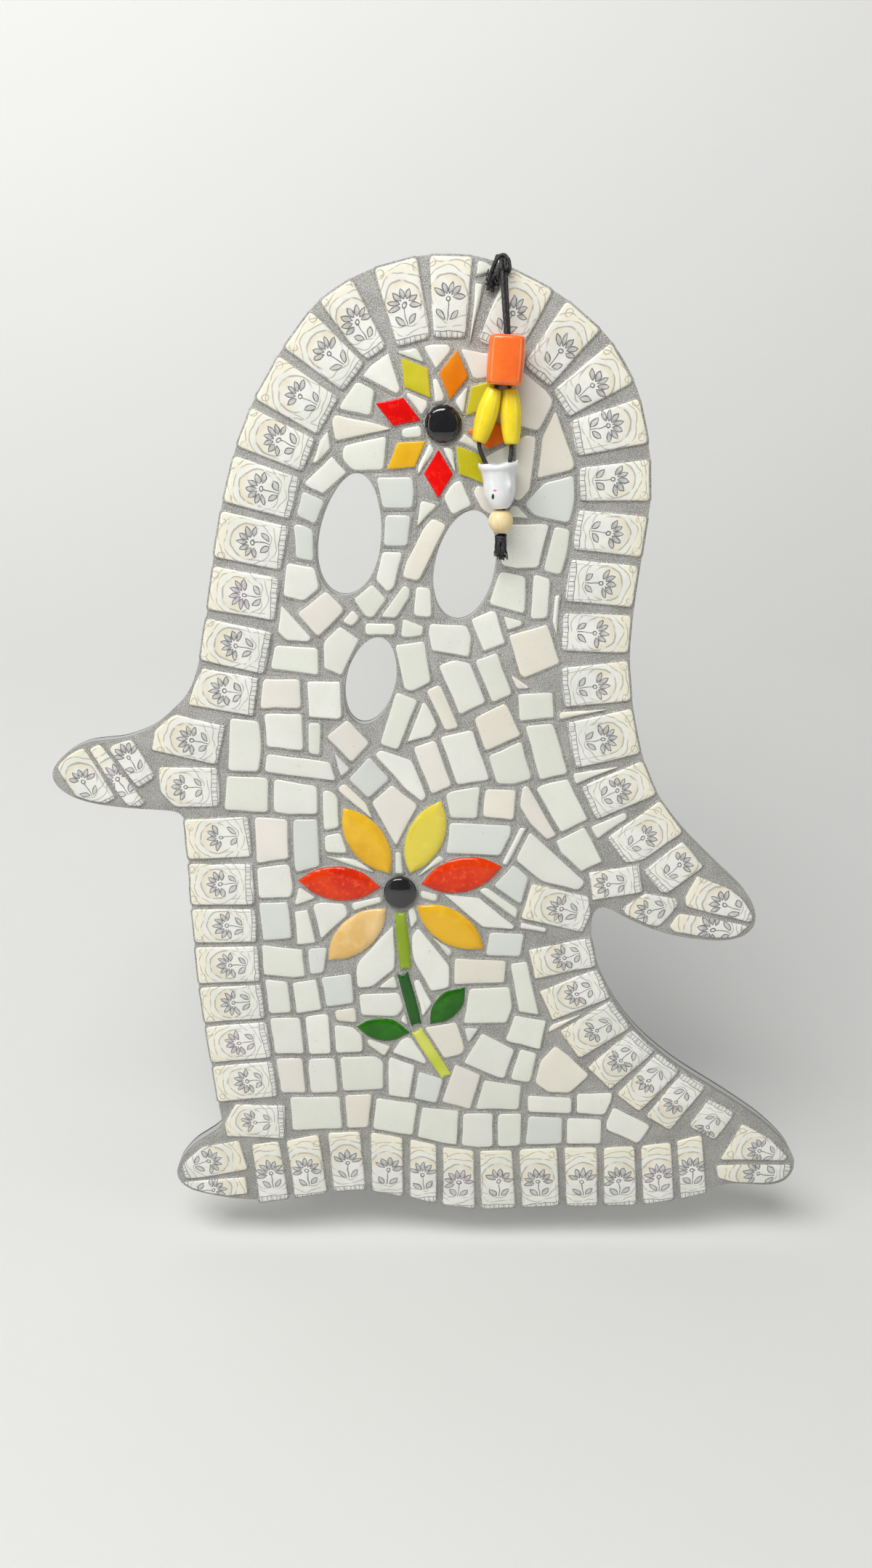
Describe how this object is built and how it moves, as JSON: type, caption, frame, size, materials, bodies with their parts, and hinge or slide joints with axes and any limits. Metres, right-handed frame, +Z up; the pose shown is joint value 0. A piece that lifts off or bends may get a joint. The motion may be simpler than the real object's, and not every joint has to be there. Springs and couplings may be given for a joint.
{
  "type": "mosaic ghost ornament",
  "caption": "Flat ghost-shaped plaque with see-through eyes and mouth, faced with crockery and glass mosaic, with a beaded cord hanging from its head.",
  "frame": {"origin": "on the flat back face, in the middle of the head 31.5 mm below the crown, where a hanger would be fixed", "axes": "+Y out of the back towards the wall, so the mosaic faces -Y; +Z up; +X to the right seen from the front"},
  "size_m": [0.3545, 0.0293, 0.4485],
  "materials": {
    "board": "matt black paint",
    "mosaic": "glossy glaze in sanded grout",
    "gem": "polished black",
    "olive": "opaque, glossy",
    "orange": "opaque, glossy",
    "vermilion": "opaque, glossy",
    "red": "opaque, glossy",
    "amber": "opaque, glossy",
    "yellow": "opaque, glossy",
    "peach": "opaque, glossy",
    "leaf": "opaque, glossy",
    "light": "opaque, glossy",
    "dark": "opaque, glossy",
    "lime": "opaque, glossy",
    "barrel_bead": "glossy",
    "oval_bead": "satin gloss",
    "ghost_bead": "glossy white glaze",
    "wood_bead": "smooth, unvarnished",
    "cord": "waxed cotton"
  },
  "bodies": {
    "root": {"board": "board", "mosaic": "mosaic", "head_gem": "gem", "body_gem": "gem", "diamond_1": "olive", "diamond_2": "orange", "diamond_3": "olive", "diamond_4": "vermilion", "diamond_5": "olive", "diamond_6": "red", "diamond_7": "amber", "diamond_8": "red", "petal_1": "amber", "petal_2": "yellow", "petal_3": "vermilion", "petal_4": "amber", "petal_5": "peach", "petal_6": "vermilion", "leaf_1": "leaf", "leaf_2": "leaf", "stem_1": "light", "stem_2": "dark", "stem_3": "lime", "barrel_bead": "barrel_bead", "oval_bead_left": "oval_bead", "oval_bead_right": "oval_bead", "ghost_bead": "ghost_bead", "wood_bead": "wood_bead", "cord_hitch": "cord", "cord_left": "cord", "cord_right": "cord", "tassel": "cord"}
  },
  "joints": []
}
